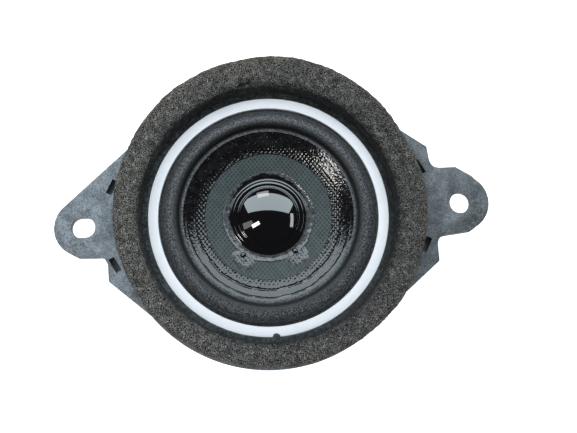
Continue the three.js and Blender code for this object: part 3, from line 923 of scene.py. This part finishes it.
def make_foam(material):
    """The foam ring, cut from sheet and butted at one seam, with its open cells as relief."""
    base, top = EAR_TOP + 0.02, FOAM_HIGH.z - 0.1
    corners = [
        (FOAM_INNER, base, 0.2),
        (FOAM_OUTER - 0.3, base, 0.3),
        (FOAM_OUTER, (base + top) / 2, 5),
        (FOAM_OUTER - 0.5, top, 2.6),
        (FOAM_INNER, top, 2.6),
    ]
    section = even_loop(rounded(corners, 10), 104)
    flat = ring_points(section, FOAM_STEPS).reshape(-1, 3)
    angle = np.repeat(np.arange(FOAM_STEPS) * 2 * math.pi / FOAM_STEPS, len(section))
    radius = np.hypot(flat[:, 0], flat[:, 1])
    middle = (FOAM_INNER + FOAM_OUTER) / 2
    out = to_points(radius - middle, angle, flat[:, 2] - (base + top) / 2)
    out /= np.linalg.norm(out, axis=1)[:, None]
    lift = 0.16 * layered_noise(flat, 0.9, 2, 3) + 0.25 * value_noise(flat, 9.0, 11)
    lift += 0.1 * value_noise(flat, 2.2, 12)
    height = np.clip((flat[:, 2] - base) / (top - base), 0, 1)
    from_seam = angle - FOAM_SEAM + 0.018 * (radius - middle)
    gap = np.exp(-((from_seam * middle / 0.35) ** 2))
    lift -= 0.4 * gap * height * (radius < FOAM_OUTER - 1.2)
    beside = (from_seam < 0.01) & (from_seam > -0.09)
    lift -= 2.4 * np.exp(-(((radius - 36.0) / 0.32) ** 2)) * beside * (height > 0.6)
    bulge = 0.45 * np.exp(-((from_seam + 0.1) ** 2) / 0.03)
    bulge -= 1.3 * np.exp(-((angle - FOAM_DIP) ** 2) / 0.09)
    bulge *= radius > middle
    side = np.where((from_seam > 0) & (from_seam < 0.5), np.exp(-from_seam / 0.16), 0)
    shift = -0.5 * side * (radius < middle) + bulge
    lift *= np.clip(height * 6, 0, 1)
    flat = flat + out * lift[:, None]
    outward = np.clip((radius - FOAM_INNER) / (FOAM_OUTER - FOAM_INNER), 0, 1)
    flat[:, 0] += np.cos(angle) * shift * height + FOAM_SHIFT[0] * outward
    flat[:, 1] += np.sin(angle) * shift * height + FOAM_SHIFT[1] * outward
    faces = ring_faces(FOAM_STEPS, len(section))
    foam = make_piece("seal_foam", flat, faces, material, "frame", "foam", 180)
    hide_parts("foam_gasket")


def even_loop(section, count):
    """The closed section again, with evenly spaced points."""
    loop = np.array(section + [section[0]], float)
    length = np.concatenate([[0], np.cumsum(np.linalg.norm(np.diff(loop, axis=0), axis=1))])
    at = np.linspace(0, length[-1], count, endpoint=False)
    return np.stack([np.interp(at, length, loop[:, 0]), np.interp(at, length, loop[:, 1])], 1)


def make_clamp_ring(material):
    inner, outer = 30.95, RING_HIGH.x + 0.12
    low, high = RING_LOW.z - 0.05, RING_HIGH.z
    section = rounded([(inner, low, 0.1), (outer, low, 0.1), (outer, high, 0.22), (inner, high, 0.22)], 4)
    ring = turned("white_clamp_ring", section, material, None, "ring_plastic", 288)
    notch = arc(0, -RECESS_RADIUS, 1.1, 0, 360, 32)[:-1]
    combine(ring, tool_mesh(*prism(notch, low - 1, high + 1)), "DIFFERENCE")
    smooth(ring.data, 38)
    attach(ring, "frame")
    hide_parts("clamp_ring")


# Suspension

CONE_LIP_FLAT = 24.0
CONE_NECK = 10.35
CONE_NECK_Z = 26.55
CONE_LIP_Z = 30.15
BEND_RADIUS = 17.7
OUTER_SLOPE = 0.34
ROLL_OUTER = 30.1
ROLL_INNER = 25.3
ROLL_RISE = 2.7


def cone_height(radius):
    """The cloth's middle height at a radius: a shallow cone, steeper beyond the bend at BEND_RADIUS."""
    radius = np.asarray(radius, float)
    inner_rise = CONE_LIP_Z - CONE_NECK_Z - OUTER_SLOPE * (CONE_LIP_FLAT - BEND_RADIUS)
    inner_slope = inner_rise / (BEND_RADIUS - CONE_NECK)
    bend = 0.35 * np.logaddexp(0, (radius - BEND_RADIUS) / 0.35)
    return CONE_NECK_Z + inner_slope * (radius - CONE_NECK) + (OUTER_SLOPE - inner_slope) * bend


def radial_blend(piece, inner, outer):
    """Follows the moving body inside the inner radius and the frame outside the outer one."""
    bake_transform(piece, "frame", "diaphragm", start=(outer * MM, 0, 0), end=(inner * MM, 0, 0))
    mesh = piece.data
    place = np.empty(len(mesh.vertices) * 3)
    mesh.vertices.foreach_get("co", place)
    radius = np.hypot(place[0::3], place[1::3]) / MM
    t = np.clip((outer - radius) / (outer - inner), 0, 1)
    weight = t * t * (3 - 2 * t)
    mesh.attributes["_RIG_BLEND"].data.foreach_set("value", weight.astype(np.float32))


def make_surround(material):
    inner_z = CONE_LIP_Z + 0.5
    outer_z = SURROUND_LOW.z + 0.25
    line = [(23.95, inner_z - 0.05), (24.2, inner_z + 0.02), (24.7, inner_z)]
    for turn in np.linspace(0, math.pi, 28):
        share = (1 - math.cos(turn)) / 2
        radius = ROLL_INNER + (ROLL_OUTER - ROLL_INNER) * share
        base = inner_z + (outer_z - inner_z) * share
        line.append((radius, base + ROLL_RISE * math.sin(turn) ** 0.85))
    line += [(30.5, outer_z), (31.5, outer_z), (32.7, outer_z)]
    sheet = thick_line(line, 0.5)
    surround = turned("roll_surround", sheet, material, None, "surround_rubber", FINE_STEPS, 70)
    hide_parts("surround")
    radial_blend(surround, ROLL_INNER + 0.3, ROLL_OUTER - 0.3)


SPIDER_Z = 18.95
SPIDER_INNER = 10.3
SPIDER_OUTER = 21.3


def make_spider(material):
    line = [(SPIDER_INNER, SPIDER_Z + 1.1), (SPIDER_INNER + 0.15, SPIDER_Z + 0.3)]
    line.append((SPIDER_INNER + 0.7, SPIDER_Z))
    waves = 3
    for t in np.linspace(0, 1, 16 * waves):
        radius = SPIDER_INNER + 1.4 + (LEDGE_BORE - SPIDER_INNER - 1.2) * t
        line.append((radius, SPIDER_Z + 0.7 * math.sin(2 * math.pi * waves * t)))
    line += [(LEDGE_BORE + 0.8, SPIDER_Z), (SPIDER_OUTER, SPIDER_Z)]
    sheet = thick_line(line, 0.35)
    spider = turned("centring_spider", sheet, material, None, "spider_cloth", PLAIN_STEPS, 70)
    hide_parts("spider")
    radial_blend(spider, SPIDER_INNER + 1.2, LEDGE_BORE)


# Moving assembly

COATING_INNER = 17.9
CLOTH_THICKNESS = 0.4


def weave_relief(radius, angle, depth):
    """Height of the plain weave at points of the cone."""
    x, y = radius * np.cos(angle + WEAVE_TURN), radius * np.sin(angle + WEAVE_TURN)
    crossing = np.sin(2 * math.pi / WEAVE_PITCH[0] * x) * np.sin(2 * math.pi / WEAVE_PITCH[1] * y)
    return depth * (0.3 * crossing - np.clip(-crossing, 0, 1) ** 2)


def cone_grooves(radius, angle):
    """Three fine pressed rings in the outer band, uneven along their length and faint at the top."""
    wander = noise_round(angle, 20.0, 3.0, 14) + 0.5 * noise_round(angle, 20.0, 0.8, 16)
    broken = 0.9 + 0.4 * noise_round(angle, 20.0, 1.7, 15)
    broken *= 0.12 + 0.88 * np.clip(0.3 - 1.6 * np.sin(angle), 0, 1)
    total = np.zeros_like(radius)
    for ring, depth, width in ((19.3, 0.05, 0.18), (20.7, 0.2, 0.32), (23.0, 0.14, 0.2)):
        total -= depth * broken * np.exp(-(((radius - ring - 0.16 * wander) / width) ** 2))
    return total


def make_cone(material):
    """The woven cloth, its threads shaped on both faces."""
    radius, angle = polar_grid(CONE_NECK, CONE_LIP_FLAT + 1.0, 72, 640)
    middle = cone_height(radius) + cone_grooves(radius, angle)
    top = to_points(radius, angle, middle + CLOTH_THICKNESS / 2 + weave_relief(radius, angle, 0.07))
    bottom = to_points(radius, angle, middle - CLOTH_THICKNESS / 2 + weave_relief(radius, angle, 0.02))
    cone = sheet_between("cone_cloth", top, bottom, material, "diaphragm", "cone_weave")
    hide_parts("cone")


def make_coating(material):
    """The film over the outer band: it fills the weave outwards, and is lumpy so that it sparkles."""
    rows, angle = polar_grid(0, 1, 56, 900)
    inner = COATING_INNER + 0.1 * noise_round(angle, 12.0, 1.4, 21)
    band = inner + (CONE_LIP_FLAT - inner) * rows
    height = cone_height(band) + cone_grooves(band, angle) + CLOTH_THICKNESS / 2
    surface = to_points(band, angle, height)
    rough = 0.017 + 0.006 * noise_on(surface, 5.0, 7)
    lumps = rough * (noise_on(surface, 0.42, 5) + 0.5 * noise_on(surface, 0.9, 6))
    beads = 1 + 0.7 * noise_on(surface, 0.4, 8)
    edge = 0.08 * beads * np.exp(-(((band - inner - 0.25) / 0.2) ** 2))
    filled = np.clip((band - inner) / 3.6, 0, 1)
    film = 0.12 + edge + weave_relief(band, angle, 0.15) * (1 - filled) + lumps
    film *= np.clip((band - inner) / 0.1, 0, 1)
    top = to_points(band, angle, height + film)
    bottom = to_points(band, angle, height - 0.15)
    sheet_between("cone_coating", top, bottom, material, "diaphragm", "cap_gloss")


CAP_RIM = 10.75
DOME_RADIUS = 8.05
DOME_RISE = 2.75


def make_cap(material):
    """The dust cap: a dome inside three stepped rings, with its rim turned down."""
    foot = float(cone_height(CAP_RIM)) + CLOTH_THICKNESS / 2 + 0.1
    step = CAP_HIGH.z - DOME_RISE - 0.35
    line = []
    for radius in np.linspace(0, DOME_RADIUS - 0.1, 34):
        line.append((radius, step + DOME_RISE * (1 - (radius / DOME_RADIUS) ** 2)))
    steps = [
        (8.06, -0.06), (8.12, -0.22), (8.22, -0.3), (8.4, -0.31), (8.62, -0.3), (8.74, -0.34), (8.8, -0.46),
        (8.88, -0.53), (9.1, -0.54), (9.8, -0.52), (9.94, -0.56), (10.0, -0.68), (10.08, -0.75),
        (10.3, -0.76), (10.66, -0.75), (10.8, -0.8), (10.88, -0.95), (10.9, -1.15),
    ]
    line += [(radius, step + rise) for radius, rise in steps]
    line.append((CAP_RIM + 0.15, foot))
    cap = turned("dome_cap", thick_line(line, 0.3), material, "diaphragm", "cap_gloss", FINE_STEPS, 60)
    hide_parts("dust_cap")


def make_cap_glue(material):
    """The uneven film of adhesive round the cap, with a fillet against the rim and a beaded edge."""
    rows, angle = polar_grid(0, 1, 26, 640)
    wander = noise_round(angle, 11.0, 4.0, 31) + 0.35 * noise_round(angle, 11.0, 1.1, 32)
    outer = 13.0 + 0.32 * wander
    radius = 10.95 + (outer - 10.95) * rows
    surface = cone_height(radius) + CLOTH_THICKNESS / 2
    spots = to_points(radius, angle, surface)
    beads = noise_on(spots, 0.36, 33)
    crinkle = 0.05 * noise_on(spots, 0.85, 34)
    fillet = (0.45 - 0.38 * np.clip(np.sin(angle) * 1.4, 0, 1)) * np.exp(-(((radius - 10.95) / 0.35) ** 2))
    edge = np.exp(-(((outer - radius - 0.25) / 0.28) ** 2))
    film = (0.17 + crinkle + (0.12 + 0.08 * beads) * edge) * np.clip((1 - rows) / 0.08, 0, 1) ** 0.5
    top = to_points(radius, angle, surface + film + fillet + 0.02)
    bottom = to_points(radius, angle, surface - 0.05)
    bead = sheet_between("cap_glue_bead", top, bottom, material, "diaphragm", "adhesive")
    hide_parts("cap_glue")


LEAD_SPREAD = math.radians(33)
LEAD_RADIUS = 13.3
BLOB_HALF_LENGTH = 3.4
BLOB_HALF_WIDTH = 2.95


def make_lead_blob(side, material, seed):
    """A flat puddle of adhesive over the end of a lead."""
    turn = -math.pi / 2 + side * LEAD_SPREAD
    rows, angle = polar_grid(0, 1, 30, 160)
    reach = 1 + 0.14 * noise_round(angle, 3.0, 1.6, seed)
    out = BLOB_HALF_WIDTH * reach * rows * np.cos(angle) + 0.6
    along = BLOB_HALF_LENGTH * reach * rows * np.sin(angle)
    x = (LEAD_RADIUS + out) * math.cos(turn) - along * math.sin(turn)
    y = (LEAD_RADIUS + out) * math.sin(turn) + along * math.cos(turn)
    radius, place = np.hypot(x, y), np.arctan2(y, x)
    surface = cone_height(radius) + CLOTH_THICKNESS / 2
    ripple = 0.05 * noise_on(np.stack([x, y, surface], -1), 0.9, seed + 1)
    rise = (0.2 + ripple + weave_relief(radius, place, 0.035)) * (1 - rows**6)
    top = np.stack([x, y, surface + rise], -1)
    bottom = np.stack([x, y, surface - 0.05], -1)
    blob = sheet_between("lead_blob_" + SIDES[side], top, bottom, material, "diaphragm", "adhesive")
    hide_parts("lead_glue_" + SIDES[side])


KNOT_PLACES = {-1: (13.0, math.radians(37)), 1: (12.3, math.radians(34))}  # radius, and angle from -Y
KNOT_RADIUS = 0.88


def make_lead_knot(side, material):
    """The black bead of lacquer over a lead's knot, a little off round."""
    radius, spread = KNOT_PLACES[side]
    turn = -math.pi / 2 + side * spread
    rows, angle = polar_grid(0, 1, 14, 72)
    reach = KNOT_RADIUS * rows * (1 + 0.07 * np.cos(2 * angle + side))
    x = radius * math.cos(turn) + reach * np.cos(angle)
    y = radius * math.sin(turn) + reach * np.sin(angle)
    base = float(cone_height(radius)) + CLOTH_THICKNESS / 2
    top = np.stack([x, y, base + 1.05 * np.sqrt(np.clip(1 - rows**2, 0, 1))], -1)
    bottom = np.stack([x, y, np.full_like(x, base - 0.1)], -1)
    sheet_between("lead_knot_" + SIDES[side], top, bottom, material, "diaphragm", "adhesive")


# Motor and coil

YOKE_BORE = 11.3
YOKE_FLOOR = 4.0
FORMER_INNER = 9.9
FORMER_OUTER = 10.15
COIL_OUTER = 10.75
COIL_TURNS = 28


def node_section(node, chamfer):
    """The section of a round CAD solid with its edges rounded."""
    low, high = node_box(node)
    return rounded([(0, low.z, 0), (high.x, low.z, chamfer), (high.x, high.z, chamfer), (0, high.z, 0)], 3)


def make_motor(steel, nickel, glue):
    """The steel cup, with a centre recess and a groove turned in its back, and the discs inside it."""
    section = rounded([
        (0, 0.25, 0),
        (1.2, 0.25, 0.1),
        (1.5, 0.0, 0.1),
        (11.6, 0.0, 0.1),
        (11.8, 0.12, 0.05),
        (12.1, 0.12, 0.05),
        (12.3, 0.0, 0.1),
        (YOKE_HIGH.x, 0.0, 1.0),
        (YOKE_HIGH.x, MOTOR_TOP, 0.3),
        (YOKE_BORE, MOTOR_TOP, 0.3),
        (YOKE_BORE, YOKE_FLOOR, 0.4),
        (0, YOKE_FLOOR, 0),
    ], 4)
    cup = turned("motor_cup", section, steel, "frame", "plated_steel", PLAIN_STEPS)
    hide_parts("yoke")
    for node, name, material, slot in (
        ("magnet", "magnet_disc", nickel, "magnet_nickel"),
        ("pole_plate", "pole_disc", steel, "plated_steel"),
    ):
        disc = turned(name, node_section(node, 0.35), material, "frame", slot, PLAIN_STEPS)
        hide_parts(node)
    make_yoke_glue(glue)


def make_yoke_glue(material):
    """The uneven bead of adhesive where the motor cup enters the frame."""
    rows, angle = polar_grid(0, 1, 8, 256)
    wander = noise_round(angle, 12.0, 2.2, 61)
    radius = YOKE_HIGH.x + 0.02 + (1.3 + 0.25 * wander) * rows
    under = HUB_BOTTOM + 0.02 - (1.5 + 0.3 * wander) * (1 - rows) ** 1.6
    top = to_points(radius, angle, np.full_like(radius, HUB_BOTTOM + 0.05))
    bottom = to_points(radius, angle, under)
    bead = sheet_between("motor_glue_bead", top, bottom, material, "frame", "adhesive")
    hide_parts("yoke_glue")


def make_coil(paper, copper):
    """The former tube, and the winding with its turns."""
    low = node_box("voice_coil_former")[0]
    top = float(cone_height(CONE_NECK)) - 0.1
    tube = rounded([
        (FORMER_INNER, low.z, 0.05),
        (FORMER_OUTER, low.z, 0.05),
        (FORMER_OUTER, top, 0.05),
        (FORMER_INNER, top, 0.05),
    ], 2)
    former = turned("coil_former", tube, paper, "diaphragm", "former", PLAIN_STEPS)
    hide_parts("voice_coil_former")
    low, high = node_box("voice_coil_winding")
    line = [(FORMER_OUTER + 0.02, high.z), (FORMER_OUTER + 0.02, low.z)]
    for t in np.linspace(0, 1, COIL_TURNS * 6 + 1):
        ridge = abs(math.sin(math.pi * COIL_TURNS * t))
        line.append((COIL_OUTER - 0.12 + 0.1 * ridge, low.z + (high.z - low.z) * t))
    winding = turned("coil_winding", line, copper, "diaphragm", "copper", PLAIN_STEPS, 80)
    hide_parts("voice_coil_winding")


# Terminals and leads

TAB_WIDTH = 2.4
TAB_THICKNESS = 0.6
TAB_INNER = -21.6
TAB_OUTER = -37.2
SOLDER_Y = TAB_INNER - 1.2
LEAD_THICKNESS = 0.9
SOCKET = {"half_height": 4.4, "wall": 1.4, "back": 2.2}
SOCKET_PIN_HOLE = (1.35, 0.45)  # half its width and half its height
NOTCH_X = 4.6

def make_terminals(material):
    """The two tabs, tapered at the plug end, with a drop of solder on each."""
    for side, word in SIDES.items():
        x = side * TERMINAL_X
        half, point = TAB_WIDTH / 2, TAB_WIDTH / 2 - 0.5
        outline = [(x - half, TAB_INNER), (x - half, TAB_OUTER + 1.2), (x - point, TAB_OUTER)]
        outline += [(x + point, TAB_OUTER), (x + half, TAB_OUTER + 1.2), (x + half, TAB_INNER)]
        tab_low = TERMINAL_Z - TAB_THICKNESS / 2
        tab = solid_from(prism(outline, tab_low, tab_low + TAB_THICKNESS), "terminal_tab_" + word)
        bevel(tab, 0.12)
        finish_piece(tab, material, "frame", "terminal_" + word)
        rows, angle = polar_grid(0, 1, 16, 64)
        reach = 1.12 + 0.1 * noise_round(angle, 2.0, 1.0, 71 + side)
        base = tab_low + TAB_THICKNESS
        drop_x = x + reach * rows * np.cos(angle)
        drop_y = SOLDER_Y + 1.05 * reach * rows * np.sin(angle)
        top = np.stack([drop_x, drop_y, base + 1.1 * np.sqrt(np.clip(1 - rows**2, 0, 1))], -1)
        bottom = np.stack([drop_x, drop_y, np.full_like(drop_x, base - 0.03)], -1)
        drop = sheet_between("solder_drop_" + word, top, bottom, material, "frame", "tin")
        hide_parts("solder_" + word)


def make_socket(material):
    """The connector housing: a square mouth with two notches over it and a latch under it."""
    low, high = HOUSING_LOW, HOUSING_HIGH
    wall, back = SOCKET["wall"], SOCKET["back"]
    bottom, top = TERMINAL_Z - SOCKET["half_height"], TERMINAL_Z + SOCKET["half_height"]
    piece = solid_from(box_points((low.x, low.y, bottom), (high.x, high.y, top)), "socket_housing")
    latch = box_points((-2, low.y + 2, bottom - 0.9), (2, low.y + 4, bottom + 0.7))
    combine(piece, tool_mesh(*latch), "UNION")
    room = box_points((low.x + wall, low.y - 1, bottom + wall), (high.x - wall, high.y - back, top - wall))
    combine(piece, tool_mesh(*room), "DIFFERENCE")
    wide, tall = SOCKET_PIN_HOLE
    for side in SIDES:
        x = side * TERMINAL_X
        cut = box_points((x - wide, low.y - 1, TERMINAL_Z - tall), (x + wide, high.y + 1, TERMINAL_Z + tall))
        combine(piece, tool_mesh(*cut), "DIFFERENCE")
        x = side * NOTCH_X
        notch = box_points((x - 0.6, low.y - 1, top - wall - 0.1), (x + 0.6, low.y + 5, top + 1))
        combine(piece, tool_mesh(*notch), "DIFFERENCE")
    bevel(piece, 0.3)
    finish_piece(piece, material, "frame", "connector_housing")


def bent_route(points, steps):
    """steps places along a smooth line through the points."""
    points = [Vector(p) for p in points]
    points = [2 * points[0] - points[1], *points, 2 * points[-1] - points[-2]]
    spans = len(points) - 3
    found = []
    for k in range(steps):
        at = k / (steps - 1) * spans
        i = min(int(at), spans - 1)
        t = at - i
        a, b, c, d = points[i:i + 4]
        place = 2 * b + (c - a) * t
        place += (2 * a - 5 * b + 4 * c - d) * t**2
        place += (3 * b - a - 3 * c + d) * t**3
        found.append(0.5 * place)
    return found


def make_lead(side, material):
    """A braided tinsel lead: three strands twisted together, from the cone down to the solder."""
    word = SIDES[side]
    turn = -math.pi / 2 + side * LEAD_SPREAD
    x, y = LEAD_RADIUS * math.cos(turn), LEAD_RADIUS * math.sin(turn)
    under = float(cone_height(LEAD_RADIUS)) - CLOTH_THICKNESS / 2
    start = CONE_LOW.z + 0.4
    joint = TERMINAL_Z + TAB_THICKNESS / 2 + 0.9
    route = bent_route([
        (x, y, under + 0.05),
        (x, y - 0.8, start - 1.9),
        (0.85 * x, y - 4.2, start - 3.4),
        (0.6 * x, y - 8.2, start - 2.2),
        (side * TERMINAL_X, SOLDER_Y, joint),
    ], 150)
    around, points = 24, []
    across = Vector((1, 0, 0))
    for i, place in enumerate(route):
        along = (route[min(i + 1, len(route) - 1)] - route[max(i - 1, 0)]).normalized()
        across = (across - along * across.dot(along)).normalized()
        up = along.cross(across)
        for k in range(around):
            angle = 2 * math.pi * k / around
            lobe = abs(math.cos(1.5 * (angle - i * 0.16)))
            radius = LEAD_THICKNESS / 2 * (0.72 + 0.28 * lobe)
            points.append(place + radius * (math.cos(angle) * across + math.sin(angle) * up))
    faces = []
    for i in range(len(route) - 1):
        for k in range(around):
            j = (k + 1) % around
            faces.append((i * around + k, i * around + j, (i + 1) * around + j, (i + 1) * around + k))
    faces.append(tuple(range(around))[::-1])
    faces.append(tuple(range(len(points) - around, len(points))))
    lead = make_piece("tinsel_braid_" + word, [tuple(p) for p in points], faces, material, None, "copper", 80)
    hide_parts("tinsel_lead_" + word)
    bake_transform(lead, "frame", "diaphragm", start=tuple(route[-1] * MM), end=tuple(route[0] * MM))


# Stage

FLOOR_HALF = 20000.0
def make_floor():
    corners = [(x * FLOOR_HALF, y * FLOOR_HALF) for x, y in ((-1, -1), (1, -1), (1, 1), (-1, 1))]
    floor = tool_mesh(*prism(corners, -5.0, -0.05))
    floor.name = "floor"
    material, tree, shader = new_material("pale_floor")
    fill(tree, shader, {
        "Base Color": (0.9, 0.9, 0.9, 1),
        "Roughness": 0.7,
        "Emission Color": (1, 1, 1, 1),
        "Emission Strength": 0.8,
    })
    floor.data.materials.append(material)


# Build

glue = glue_material()
gloss = dome_material()
steel = worn_metal("plated_steel", (0.42, 0.43, 0.45), (0.6, 0.6, 0.6), 0.3, (1, 1, 0.2))
nickel = worn_metal("magnet_nickel", (0.5, 0.49, 0.46), (0.65, 0.64, 0.6), 0.25)
copper = worn_metal("copper_wire", (0.5, 0.2, 0.09), (0.85, 0.42, 0.22), 0.3)

make_floor()
make_basket(frame_plastic())
make_foam(foam_material())
make_clamp_ring(white_plastic())
make_surround(surround_material())
make_spider(spider_material())
make_cone(cone_cloth_material())
make_coating(coating_material())
make_cap(gloss)
make_cap_glue(glue)
make_lead_blob(-1, glue, 41)
make_lead_blob(1, glue, 47)
make_lead_knot(-1, gloss)
make_lead_knot(1, gloss)
make_motor(steel, nickel, glue)
make_coil(moulded_plastic("former_paper", (0.16, 0.1, 0.04), (0.26, 0.17, 0.08), 0.55), copper)
make_terminals(worn_metal("tinned", (0.45, 0.45, 0.44), (0.7, 0.7, 0.68), 0.32))
make_socket(moulded_plastic("connector_plastic", (0.012, 0.012, 0.013), (0.03, 0.03, 0.032), 0.45))
for side in SIDES:
    make_lead(side, copper)
